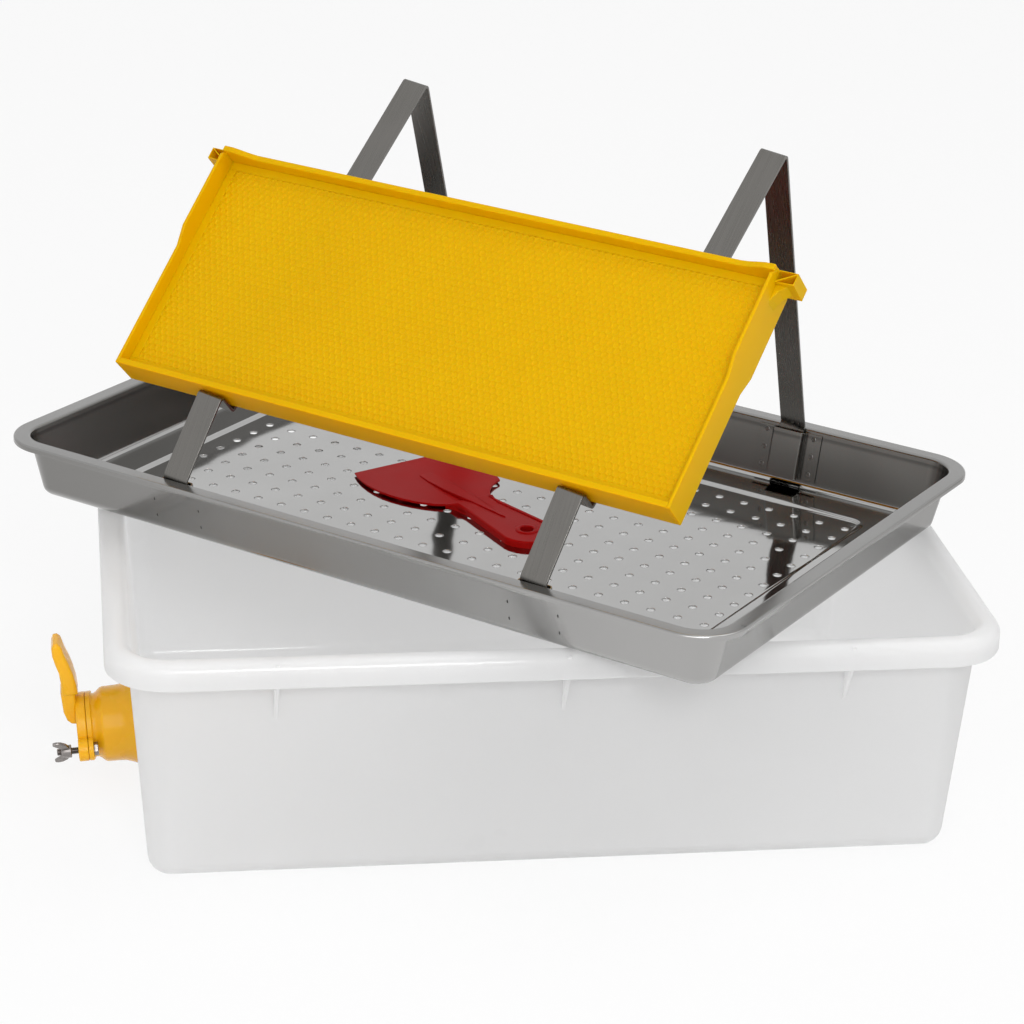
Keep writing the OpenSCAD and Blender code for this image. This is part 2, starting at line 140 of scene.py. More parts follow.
def piece(name, bm, material, body, nodes=(), sharp=40, place=None, before=()):
    """The finished object of a mesh: in place, smooth but for its sharp edges, and on its body."""
    if place:
        bmesh.ops.transform(bm, matrix=place, verts=bm.verts)
    mesh = bpy.data.meshes.new(name)
    bm.to_mesh(mesh)
    bm.free()
    mesh.shade_smooth()
    mesh.set_sharp_from_angle(angle=math.radians(sharp))
    mesh.materials.append(material)
    made = bpy.data.objects.new(name, mesh)
    bpy.context.scene.collection.objects.link(made)
    for kind, settings in before:
        step = made.modifiers.new(kind.title(), kind)
        for key, value in settings.items():
            setattr(step, key, value)
    made.modifiers.new("Even shading", "WEIGHTED_NORMAL").keep_sharp = True
    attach(made, body)
    if nodes:
        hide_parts(*nodes)
    return made


def verts_of(geometry):
    return [part for part in geometry if isinstance(part, bmesh.types.BMVert)]


def edges_of(geometry):
    return [part for part in geometry if isinstance(part, bmesh.types.BMEdge)]


def edges_at(verts):
    return list({e for v in verts for e in v.link_edges})


def faces_at(verts):
    return list({f for v in verts for f in v.link_faces})


def round_edges(bm, edges, radius, segments=3):
    return bmesh.ops.bevel(bm, geom=edges, affect="EDGES", offset=radius, segments=segments,
                           profile=0.5, material=-1, clamp_overlap=True)


def carry_round(bm, section, length, width, corner, bends, steps=12):
    """A section carried round a rectangle with rounded corners.

    The section is a list of (distance from the corner's axis, height); bends gives the radius
    at a point of the section by its number."""
    mark = bm.verts.layers.int.get("bend") or bm.verts.layers.int.new("bend")
    far_x, far_y = length / 2 - corner, width / 2 - corner
    chain = []
    for number, (out, height) in enumerate(section):
        chain.append(bm.verts.new((far_x + out, -far_y, height)))
        chain[-1][mark] = number + 1
    edges = [bm.edges.new(pair) for pair in zip(chain, chain[1:])]
    made = list(chain)
    runs = [(0, 2 * far_y), (-2 * far_x, 0), (0, -2 * far_y), (2 * far_x, 0)]
    axes = [(far_x, far_y), (-far_x, far_y), (-far_x, -far_y), (far_x, -far_y)]
    for run, axis in zip(runs, axes):
        drawn = bmesh.ops.extrude_edge_only(bm, edges=edges)["geom"]
        moved = verts_of(drawn)
        bmesh.ops.translate(bm, verts=moved, vec=(*run, 0))
        ends = set(moved)
        edges = [e for e in edges_of(drawn) if e.verts[0] in ends and e.verts[1] in ends]
        turned = bmesh.ops.spin(bm, geom=edges + moved, cent=(*axis, 0), axis=(0, 0, 1),
                                angle=math.pi / 2, steps=steps, use_merge=False)
        edges = edges_of(turned["geom_last"])
    ring = [v for v in bm.verts if v[mark]]
    bmesh.ops.remove_doubles(bm, verts=ring, dist=1e-6)
    bmesh.ops.recalc_face_normals(bm, faces=bm.faces)
    for number, radius in bends.items():
        before, here, after = (Vector(section[number + k]) for k in (-1, 0, 1))
        turn = (here - before).angle(after - here)
        loop = [e for e in bm.edges if all(v[mark] == number + 1 for v in e.verts)]
        round_edges(bm, loop, radius * math.tan(turn / 2), segments=5)
    for v in bm.verts:
        v[mark] = 0


def rim_edges(bm, height, near=1e-5):
    """The open edges of a mesh that lie level at a height."""
    return [e for e in bm.edges if e.is_boundary
            and all(abs(v.co.z - height) < near for v in e.verts)]


def bored(bm, cutter):
    """The mesh with the shape of the cutter taken out of it."""
    blanks = []
    for source in (bm, cutter):
        mesh = bpy.data.meshes.new("blank")
        source.to_mesh(mesh)
        source.free()
        blanks.append(bpy.data.objects.new("blank", mesh))
        bpy.context.scene.collection.objects.link(blanks[-1])
    cut = blanks[0].modifiers.new("Hole", "BOOLEAN")
    cut.operation = "DIFFERENCE"
    cut.solver = "EXACT"
    cut.object = blanks[1]
    result = bmesh.new()
    result.from_object(blanks[0], bpy.context.evaluated_depsgraph_get())
    for blank in blanks:
        mesh = blank.data
        bpy.data.objects.remove(blank)
        bpy.data.meshes.remove(mesh)
    return result


def slab(bm, outline, thick):
    """A flat outline in x and y, drawn out upwards. Gives its new geometry."""
    face = bm.faces.new([bm.verts.new((x, y, 0)) for x, y in outline])
    drawn = bmesh.ops.extrude_face_region(bm, geom=[face], use_keep_orig=True)["geom"]
    bmesh.ops.translate(bm, verts=verts_of(drawn), vec=(0, 0, thick))
    body = list(face.verts) + verts_of(drawn)
    bmesh.ops.recalc_face_normals(bm, faces=faces_at(body))
    return body


tub_low, tub_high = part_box("tub")
tub_len, tub_wid, tub_h = tub_high - tub_low
tub_wall = 0.003
draft = math.radians(4.5)
rim_w = 0.017
lip_h = 0.018
floor_corner = 0.012
tub_corner = floor_corner + (tub_h - tub_wall) * math.tan(draft) + rim_w
floor_edge = 0.001
floor_bend_out, floor_bend_in = 0.0138, 0.0105
rim_bend_out, rim_bend_in, rim_root_bend = 0.008, 0.007, 0.002
lip_root_bend, lip_edge = 0.0015, 0.001


def tub_inside(height):
    return tub_corner - rim_w - (tub_h - height) * math.tan(draft)


tub_mesh = bmesh.new()
rim_under = tub_h - tub_wall
carry_round(tub_mesh, [
    (floor_edge, 0), (tub_inside(0) + tub_wall, 0), (tub_inside(rim_under) + tub_wall, rim_under),
    (tub_corner - tub_wall, rim_under), (tub_corner - tub_wall, tub_h - lip_h),
    (tub_corner, tub_h - lip_h), (tub_corner, tub_h), (tub_corner - rim_w, tub_h),
    (tub_inside(tub_wall), tub_wall), (floor_edge, tub_wall)],
    tub_len, tub_wid, tub_corner,
    {1: floor_bend_out, 2: rim_root_bend, 3: lip_root_bend, 4: lip_edge, 5: lip_edge,
     6: rim_bend_out, 7: rim_bend_in, 8: floor_bend_in})
for level in (0, tub_wall):
    bmesh.ops.edgeloop_fill(tub_mesh, edges=rim_edges(tub_mesh, level))
bmesh.ops.recalc_face_normals(tub_mesh, faces=tub_mesh.faces)

seal_low, seal_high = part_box("gate_seal")
gate_swing = next(j for j in frame["record"]["behaviour"]["joints"] if j["name"] == "gate_swing")
gate_axis = Vector(gate_swing["axis"])
seal_t = 0.002
at_gate = (Matrix.Translation((seal_low + seal_high) / 2 - gate_axis * seal_t / 2)
           @ Matrix.Rotation(-math.pi / 2 - draft, 4, "Y"))
wall_hole_r = 0.0229
hole_cutter = bmesh.new()
bmesh.ops.create_cone(hole_cutter, cap_ends=True, segments=64, radius1=wall_hole_r,
                      radius2=wall_hole_r, depth=8 * tub_wall, matrix=at_gate)
tub_mesh = bored(tub_mesh, hole_cutter)

web_t, web_h, web_pitch, web_edge = 0.003, 0.049, 0.190, 0.0007
web_foot = tub_h - web_h
sunk = 0.0005
end_on = Matrix(((0, 0, 1, 0), (1, 0, 0, 0), (0, 1, 0, 0), (0, 0, 0, 1)))
for side in (0, math.pi):
    for count in (-1, 0, 1):
        web = slab(tub_mesh, [
            (tub_inside(web_foot) + tub_wall - sunk, web_foot),
            (tub_corner - tub_wall / 2, tub_h - lip_h + tub_wall),
            (tub_corner - tub_wall / 2, tub_h - tub_wall / 2),
            (tub_inside(tub_h) + tub_wall - sunk, tub_h - tub_wall / 2)], web_t)
        to_side = (Matrix.Rotation(side, 4, "Z")
                   @ Matrix.Translation((count * web_pitch - web_t / 2, tub_wid / 2 - tub_corner, 0))
                   @ end_on)
        bmesh.ops.transform(tub_mesh, matrix=to_side, verts=web)
        round_edges(tub_mesh, edges_at(web), web_edge, segments=2)

tub_plastic, socket, wire = finish("tub_plastic", {
    "Specular IOR Level": 0.35, "Coat Weight": 1.0, "Coat Roughness": 0.07})
cloud = grain(wire, 7.0, 3.0)
speck = grain(wire, 900.0, 1.0)
wire.plug(shades(wire, cloud, (0.86, 0.86, 0.86), (0.90, 0.90, 0.90)), socket["Base Color"])
wire.plug(0.24 + 0.10 * cloud, socket["Roughness"])
wire.plug(relief(wire, speck, 0.05, 0.0004), socket["Normal"])
lit_through(wire, 0.70, (0.96, 0.96, 0.96))
piece("tub_moulding", tub_mesh, tub_plastic, "tub", ["tub"])


# The honey gate's barrel is moulded in amber plastic. Its spigot goes through the tub's wall with a
# rubber ring outside and a ring nut inside, and its flange carries two ears for the bolts.
def arc(centre, radius, start, stop, steps):
    """Points on an arc in x and y, by angles in degrees."""
    turns = [math.radians(start + (stop - start) * k / steps) for k in range(steps + 1)]
    return [(centre[0] + radius * math.cos(t), centre[1] + radius * math.sin(t)) for t in turns]


def turned(bm, section, steps=64):
    """A closed section of (radius, height), spun about Z. Gives its vertices."""
    chain = [bm.verts.new((radius, 0, height)) for radius, height in section]
    edges = [bm.edges.new(pair) for pair in zip(chain, chain[1:] + chain[:1])]
    old = set(bm.verts) - set(chain)
    bmesh.ops.spin(bm, geom=chain + edges, cent=(0, 0, 0), axis=(0, 0, 1), angle=2 * math.pi,
                   steps=steps, use_merge=True)
    body = [v for v in bm.verts if v not in old]
    bmesh.ops.recalc_face_normals(bm, faces=faces_at(body))
    return body


def level_edges(verts, axis):
    """The edges at the vertices that run square to an axis: 0 for x, 1 for y, 2 for z."""
    return [e for e in edges_at(verts) if abs(e.verts[0].co[axis] - e.verts[1].co[axis]) < 1e-9]


def drum(bm, radius, height, place=(0, 0, 0), segments=48, bevel=0.0):
    """An upright round or six-sided block on a place, with its rims rounded."""
    made = bmesh.ops.create_cone(bm, cap_ends=True, segments=segments, radius1=radius,
                                 radius2=radius, depth=height)["verts"]
    bmesh.ops.translate(bm, verts=made, vec=Vector(place) + Vector((0, 0, height / 2)))
    if bevel:
        round_edges(bm, level_edges(made, 2), bevel)


def dress(node, material):
    """The material of a solid whose shape is shown as it is."""
    slots = frame["nodes"][node].data.materials
    slots.clear()
    slots.append(material)


spigot_r, bore_r = 0.0225, 0.019
nut_t, spigot_past_nut = 0.008, 0.002
spigot_end = -tub_wall - nut_t - spigot_past_nut
barrel_len = 0.033
barrel_end = seal_t + barrel_len
flange_t, flange_r, flange_edge = 0.0035, 0.0242, 0.0006
flange_back = barrel_end - flange_t
ear_r, ear_turn, ear_pad_r = 0.028, math.radians(-10), 0.008
ears = {side: Vector((-side * ear_r * math.sin(ear_turn), side * ear_r * math.cos(ear_turn), 0))
        for side in (-1, 1)}
barrel = bmesh.new()
turned(barrel, [
    (bore_r, spigot_end), (spigot_r, spigot_end), (spigot_r, seal_t),
    (0.0295, seal_t), (0.0297, seal_t + 0.001), (0.0285, seal_t + 0.004), (0.0272, seal_t + 0.008),
    (0.0268, seal_t + 0.012), (0.0266, flange_back - 0.0085), (0.0258, flange_back - 0.0065),
    (0.0235, flange_back - 0.004), (0.0225, flange_back - 0.0025), (0.0225, flange_back - 0.0006),
    (0.0230, flange_back), (flange_r - flange_edge, flange_back), (flange_r, flange_back + flange_edge),
    (flange_r, barrel_end), (bore_r, barrel_end)])
for side in (-1, 1):
    drum(barrel, ear_pad_r, flange_t, ears[side] + Vector((0, 0, flange_back)), bevel=flange_edge)

amber = (0.93, 0.50, 0.012)
amber_deep = (0.88, 0.42, 0.006)
gate_plastic, socket, wire = finish("gate_plastic", {
    "Specular IOR Level": 0.2, "Subsurface Weight": 0.2, "Subsurface Scale": 0.004,
    "Subsurface Radius": (1.0, 0.5, 0.1), "Coat Roughness": 0.05})
flow = grain(wire, 40.0, 3.0)
wire.plug(shades(wire, flow, amber_deep, amber), socket["Base Color"])
wire.plug(0.20 + 0.14 * flow, socket["Roughness"])
wire.plug(0.15 + 0.2 * flow, socket["Coat Weight"])
wire.plug(relief(wire, grain(wire, 260.0), 0.06, 0.0006), socket["Normal"])
piece("gate_barrel", barrel, gate_plastic, "tub", ["gate_body"], place=at_gate)
dress("gate_lock_nut", gate_plastic)

seal_rubber, socket, wire = finish("seal_rubber", {"Specular IOR Level": 0.3})
dust = grain(wire, 300.0, 3.0)
wire.plug(shades(wire, dust, (0.022, 0.022, 0.022), (0.05, 0.05, 0.048)), socket["Base Color"])
wire.plug(0.6 + 0.25 * dust, socket["Roughness"])
dress("gate_seal", seal_rubber)


# The blade closes the barrel's mouth. It swings up about the far bolt, its near ear is slotted to
# come off the stud, and a thick S-curved paddle is moulded on it as the handle.
blade_gap, blade_t, blade_edge = 0.0002, 0.007, 0.0012
blade_z = barrel_end + blade_gap
blade_face = blade_z + blade_t
slot_r, slot_edge = 0.003, 0.0008
handle_w, paddle_edge = 0.022, 0.0026
root_in, root_edge = 0.002, 0.0022
root_w = handle_w - root_in
blade = bmesh.new()
drum(blade, flange_r, blade_t, (0, 0, blade_z), segments=64, bevel=blade_edge)
drum(blade, ear_pad_r, blade_t, ears[1] + Vector((0, 0, blade_z)), bevel=blade_edge)
mouth = math.degrees(math.asin(slot_r / ear_pad_r))
slotted_ear = slab(blade, arc((0, 0), ear_pad_r, 180 + mouth, 540 - mouth, 28)
                   + arc((0, 0), slot_r, 90, -90, 10), blade_t)
bmesh.ops.transform(blade, verts=slotted_ear, matrix=(
    Matrix.Translation(ears[-1] + Vector((0, 0, blade_z))) @ Matrix.Rotation(ear_turn, 4, "Z")))
round_edges(blade, level_edges(slotted_ear, 2), slot_edge, segments=2)
root = slab(blade, [
    (0.0060, -0.001), (0.0068, 0.0036), (0.0095, 0.0064), (0.016, 0.0084), (0.0305, 0.0090),
    (0.0305, -0.001)], root_w)
paddle = slab(blade, [
    (0.0292, 0.0084), (0.0385, 0.0080), (0.0465, 0.0086), (0.0530, 0.0104), (0.0597, 0.0118),
    (0.0660, 0.0119), (0.0692, 0.0104), (0.0696, 0.0076), (0.0672, 0.0052), (0.0600, 0.0034),
    (0.0525, 0.0008), (0.0450, -0.0012), (0.0370, -0.0026), (0.0292, -0.0030)], handle_w)
for body, width, edge in ((root, root_w, root_edge), (paddle, handle_w, paddle_edge)):
    upright = (Matrix.Translation((0, width / 2, blade_face))
               @ Matrix(((1, 0, 0, 0), (0, 0, -1, 0), (0, 1, 0, 0), (0, 0, 0, 1))))
    bmesh.ops.transform(blade, matrix=upright, verts=body)
    round_edges(blade, level_edges(body, 1), edge, segments=4)
piece("gate_blade_and_handle", blade, gate_plastic, "blade", ["gate_blade"],
      place=at_gate)


# The gate's bolts are plated steel: a pivot bolt with a nut on the far ear, and on the near ear a
# stud with a wing nut, which stands loosened clear of the blade.
pivot_r, pivot_head_r, pivot_head_h, pivot_tail = 0.003, 0.005, 0.0032, 0.007
pivot_nut_r, pivot_nut_h, nut_gap = 0.0055, 0.0045, 0.0003
stud_r, stud_head_r, stud_head_h, stud_tail = 0.0025, 0.0046, 0.003, 0.010
head_edge, nut_edge = 0.0004, 0.0005
thread_pitch, thread_depth, thread_core, shank_tip = 0.0008, 0.0004, 0.0002, 0.0005
wing_gap, thread_play = 0.005, 0.0001
wing_z = blade_face + wing_gap
wing_bore = stud_r + thread_play
wing_hub_r, wing_hub_h, wing_t, wing_edge = 0.0046, 0.007, 0.0024, 0.0008
wing_turn = math.radians(-23)
plated_steel, socket, wire = finish("fastener_steel", {"Metallic": 1.0})
wear = grain(wire, 350.0, 3.0)
wire.plug(shades(wire, wear, (0.17, 0.155, 0.148), (0.36, 0.335, 0.32)), socket["Base Color"])
wire.plug(0.18 + 0.22 * wear, socket["Roughness"])
wire.plug(relief(wire, grain(wire, 900.0), 0.12, 0.0003), socket["Normal"])


def bolt(head_r, head_h, shank_r, length):
    """A six-sided head with a threaded shank that stands on it."""
    made = bmesh.new()
    drum(made, head_r, head_h, segments=6, bevel=head_edge)
    ridges = []
    for k in range(int((length - head_h) / thread_pitch)):
        low = head_h + k * thread_pitch
        ridges += [(shank_r - thread_depth, low), (shank_r, low + thread_pitch / 2)]
    turned(made, [(thread_core, head_h - sunk)] + ridges
           + [(shank_r - shank_tip, length), (thread_core, length)], steps=24)
    return made


pivot_base = flange_back - pivot_head_h
piece("pivot_bolt", bolt(pivot_head_r, pivot_head_h, pivot_r, blade_face + pivot_tail - pivot_base),
      plated_steel, "tub", ["gate_pivot_bolt"], sharp=30,
      place=at_gate @ Matrix.Translation(ears[1] + Vector((0, 0, pivot_base))))
stud_base = flange_back - stud_head_h
piece("clamp_stud", bolt(stud_head_r, stud_head_h, stud_r, wing_z + stud_tail - stud_base),
      plated_steel, "tub", ["gate_clamp_stud"], sharp=30,
      place=at_gate @ Matrix.Translation(ears[-1] + Vector((0, 0, stud_base))))

pivot_nut = bmesh.new()
drum(pivot_nut, pivot_nut_r, pivot_nut_h, segments=6, bevel=nut_edge)
hole_cutter = bmesh.new()
drum(hole_cutter, pivot_r, 3 * pivot_nut_h, (0, 0, -pivot_nut_h), segments=32)
piece("pivot_nut", bored(pivot_nut, hole_cutter), plated_steel, "tub",
      ["gate_pivot_nut"], sharp=30,
      place=at_gate @ Matrix.Translation(ears[1] + Vector((0, 0, blade_face + nut_gap))))

wing_nut = bmesh.new()
turned(wing_nut, [
    (wing_bore, 0), (wing_hub_r - 0.0003, 0), (wing_hub_r, 0.0004), (wing_hub_r - 0.0003, 0.004),
    (wing_hub_r - 0.001, wing_hub_h - 0.0004), (wing_hub_r - 0.0014, wing_hub_h),
    (wing_bore, wing_hub_h)], steps=32)
for side in (-1, 1):
    wing = slab(wing_nut, [(side * x, z) for x, z in (
        (0.0030, 0.0012), (0.0062, 0.0012), (0.0096, 0.0034), (0.0120, 0.0068), (0.0125, 0.0100),
        (0.0118, 0.0122), (0.0100, 0.0124), (0.0082, 0.0106), (0.0060, 0.0082), (0.0032, 0.0062))], wing_t)
    bmesh.ops.transform(wing_nut, verts=wing, matrix=Matrix(
        ((1, 0, 0, 0), (0, 0, 1, -wing_t / 2), (0, 1, 0, 0), (0, 0, 0, 1))))
    bmesh.ops.recalc_face_normals(wing_nut, faces=faces_at(wing))
    round_edges(wing_nut, level_edges(wing, 1), wing_edge, segments=3)
piece("wing_nut_casting", wing_nut, plated_steel, "wing_nut", ["gate_wing_nut"],
      place=at_gate @ Matrix.Translation(ears[-1] + Vector((0, 0, wing_z)))
      @ Matrix.Rotation(ear_turn + wing_turn, 4, "Z"))


# The drain tray is pressed from one sheet of stainless steel. It lies askew across the tub's rim on
# its sunken panel, which is punched with a square grid of holes so that honey runs through. The
# step round the panel lies nearer to the holes at the right end than at the left.
tray_low, tray_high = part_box("tray")
tray_mid = (tray_low + tray_high) / 2


def middle(node):
    low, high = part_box(node)
    return (low + high) / 2


along = middle("front_right_sleeve") - middle("front_left_sleeve")
tray_turn = math.atan2(along.y, along.x)
on_pressing = (Matrix.Translation((tray_mid.x, tray_mid.y, tray_low.z))
               @ Matrix.Rotation(tray_turn, 4, "Z"))
rest_shift = 0.0035
on_tray = on_pressing @ Matrix.Translation((rest_shift, 0, 0))
tray_h = tray_high.z - tray_low.z
tray_len, tray_wid = 0.596, 0.387
sheet = 0.001
flange_w, flange_lip = 0.012, 0.004
wall_lean = math.radians(13)
panel_drop, panel_corner = 0.002, 0.012
ledge_z = panel_drop + sheet
ledge_w, ledge_edge, foot_corner = 0.031, 0.005, 0.014
wall_in = (tray_h - ledge_z) * math.tan(wall_lean)
tray_corner = foot_corner + wall_in + flange_w
panel_len = tray_len - 2 * (flange_w + wall_in + ledge_w)
panel_wid = tray_wid - 2 * (flange_w + wall_in + ledge_w)
hole_r, hole_draw, hole_dip, hole_pitch = 0.00275, 0.0006, 0.00018, 0.0206
hole_room = 1.25 * hole_r
hole_cols, hole_rows = 23, 13
right_ledge = 0.009
step_lead, step_run, step_foot, step_bend = 0.003, 0.002, 0.0027, 0.0033
lip_bend, flange_bend, foot_bend = 0.0016, 0.0022, 0.0045

tray = bmesh.new()
carry_round(tray, [
    (tray_corner, tray_h - flange_lip), (tray_corner, tray_h), (tray_corner - flange_w, tray_h),
    (tray_corner - flange_w - wall_in, ledge_z), (ledge_edge, ledge_z)],
    tray_len, tray_wid, tray_corner, {1: lip_bend, 2: flange_bend, 3: foot_bend}, steps=16)
step = bmesh.new()
carry_round(step, [
    (panel_corner + step_lead, ledge_z), (panel_corner, ledge_z), (panel_corner - panel_drop, sheet),
    (panel_corner - panel_drop - step_run, sheet)],
    panel_len - right_ledge, panel_wid, panel_corner, {1: step_bend, 2: step_bend}, steps=16)
bmesh.ops.translate(step, verts=step.verts, vec=(-right_ledge / 2, 0, 0))
step_mesh = bpy.data.meshes.new("step")
step.to_mesh(step_mesh)
step.free()
tray.from_mesh(step_mesh)
bpy.data.meshes.remove(step_mesh)
bmesh.ops.bridge_loops(tray, edges=rim_edges(tray, ledge_z))

grid = bmesh.ops.create_grid(tray, x_segments=hole_cols, y_segments=hole_rows, size=0.5)["verts"]
bmesh.ops.transform(tray, verts=grid, matrix=(
    Matrix.Translation((0, 0, sheet))
    @ Matrix.Diagonal((hole_cols * hole_pitch, hole_rows * hole_pitch, 1, 1))))
cells = faces_at(grid)
bmesh.ops.bridge_loops(tray, edges=rim_edges(tray, sheet))
bmesh.ops.inset_individual(tray, faces=cells, thickness=hole_pitch / 2 - hole_room)
bmesh.ops.subdivide_edges(tray, edges=list({e for f in cells for e in f.edges}), cuts=3)
for cell in cells:
    centre = cell.calc_center_median()
    for v in cell.verts:
        v.co = centre + (v.co - centre).normalized() * (hole_r + hole_draw)
bmesh.ops.inset_individual(tray, faces=cells, thickness=hole_draw, depth=-hole_dip)
bmesh.ops.delete(tray, geom=cells, context="FACES")
for v in tray.verts:
    if abs(v.co.z - sheet) < 1e-6 and abs(v.co.x - hole_cols * hole_pitch / 2) < 1e-6:
        v.co.x = panel_len / 2 - right_ledge - panel_drop - step_foot
bmesh.ops.recalc_face_normals(tray, faces=tray.faces)
if max(tray.faces, key=lambda f: f.calc_area()).normal.z < 0:
    bmesh.ops.reverse_faces(tray, faces=tray.faces)

tray_steel, socket, wire = finish("tray_steel", {"Metallic": 1.0})
here = wire.node("ShaderNodeTexCoord", output="Object")
height = wire.node("ShaderNodeSeparateXYZ", {}, {0: here}, 2)


def ramp(wire, value, low, high):
    """0 below low and 1 above high, with a soft change between them."""
    return wire.node("ShaderNodeMapRange", {"interpolation_type": "SMOOTHSTEP"}, {
        "Value": value, "From Min": low, "From Max": high})


wall_from, wall_to = 0.003, 0.009
shade_from, shade_to, shade_fades, shade_ends = 0.0080, 0.0055, 0.0048, 0.0040
top_from, top_to = 0.0012, 0.0004
far_side, near_corner = -0.10, 0.34
up_wall = ramp(wire, height, tray_low.z + wall_from, tray_low.z + wall_to)
# Painted shadow: a dark band on the walls just below the flange's lip.
painted_shadow_under_flange = (ramp(wire, height, tray_high.z - shade_from, tray_high.z - shade_to)
                * (1.0 - ramp(wire, height, tray_high.z - shade_fades, tray_high.z - shade_ends)))
on_flange = ramp(wire, height, tray_high.z - top_from, tray_high.z - top_to)
to_corner = Matrix.Rotation(tray_turn, 3, "Z") @ Vector((0.5, -1.0, 0.0))
nearer = wire.node("ShaderNodeVectorMath", {"operation": "DOT_PRODUCT"}, {
    0: here, 1: to_corner}, "Value") - to_corner.dot(tray_mid)
smear = grain(wire, 9.0, 3.0)
swirl = grain(wire, 5.0, 2.0)
# Painted reflection: the sheet's floor is coloured lighter than its walls, and the walls lighten towards
# the front right, partly at random.
floor_painted_reflection = shades(wire, smear, (0.37, 0.368, 0.362), (0.48, 0.478, 0.472))
wall_painted_reflection = shades(wire, 0.25 * swirl + 0.75 * ramp(wire, nearer, far_side, near_corner),
                (0.135, 0.130, 0.122), (0.43, 0.427, 0.42))
painted_reflection = shades(wire, up_wall, floor_painted_reflection, wall_painted_reflection)
# Painted reflection: the flange's top is coloured a tone darker than the floor, partly at random.
flange_painted_reflection = shades(wire, smear, (0.25, 0.248, 0.242), (0.33, 0.328, 0.322))
# The painted shadow band under the flange is laid over the floor and wall tones.
shaded = shades(wire, 0.5 * painted_shadow_under_flange, painted_reflection, (0.05, 0.048, 0.046))
wire.plug(shades(wire, on_flange, shaded, flange_painted_reflection), socket["Base Color"])
wire.plug(0.05 + 0.05 * smear + up_wall * (0.10 + 0.08 * swirl), socket["Roughness"])
wire.plug(relief(wire, grain(wire, 11.0, 1.0), 0.35, 0.004), socket["Normal"])
piece("tray_pressing", tray, tray_steel, "tray", ["tray"], sharp=50, place=on_pressing,
      before=[("SOLIDIFY", {"thickness": sheet, "offset": -1.0})])


# Four hat-shaped sleeves of the same sheet stand inside the long walls of the tray. Each flange is
# fixed with three spot welds, which leave dark dimples here and faint ones on the outside.
wall_top = tray_wid / 2 - flange_w
sleeve_top, sleeve_foot = 0.0035, 0.0085
sleeve_h = (tray_h - sleeve_top - sleeve_foot) / math.cos(wall_lean)
sleeve_half, sleeve_flange, sleeve_gap = 0.0117, 0.014, 0.006
sleeve_edge = sleeve_half + sleeve_flange
rest_pitch = 0.294
hat_bend, sheet_edge = 0.0012, 0.0002
weld_r, weld_lift, weld_ring, weld_rise, weld_dip = 0.0019, 0.00003, 0.0005, 0.00025, 0.0002
weld_heights, weld_share = (0.15, 0.53, 0.90), 0.55
weld_x = sleeve_half + weld_share * sleeve_flange
mark_r, mark_top_r, mark_h, mark_shape = 0.0013, 0.0011, 0.0002, (0.5, 1.2)


def folded(bm, path, width, radii):
    """A strip of sheet through points in y and z, as wide as width along x, with rounded folds."""
    mark = bm.verts.layers.int.new("fold")
    chain = []
    for number, (y, z) in enumerate(path):
        chain.append(bm.verts.new((-width / 2, y, z)))
        chain[-1][mark] = number + 1
    edges = [bm.edges.new(pair) for pair in zip(chain, chain[1:])]
    drawn = bmesh.ops.extrude_edge_only(bm, edges=edges)["geom"]
    bmesh.ops.translate(bm, verts=verts_of(drawn), vec=(width, 0, 0))
    for number, radius in radii.items():
        before, here, after = (Vector(path[number + k]) for k in (-1, 0, 1))
        turn = (here - before).angle(after - here)
        fold = [e for e in bm.edges if all(v[mark] == number + 1 for v in e.verts)]
        round_edges(bm, fold, radius * math.tan(turn / 2), segments=6)
        for v in bm.verts:
            v[mark] = 0 if v[mark] == number + 1 else v[mark]


weld_steel, socket, wire = finish("weld_steel", {"Metallic": 1.0})
burn = grain(wire, 700.0, 2.0)
wire.plug(shades(wire, burn, (0.05, 0.048, 0.045), (0.20, 0.195, 0.19)), socket["Base Color"])
wire.plug(0.3 + 0.2 * burn, socket["Roughness"])

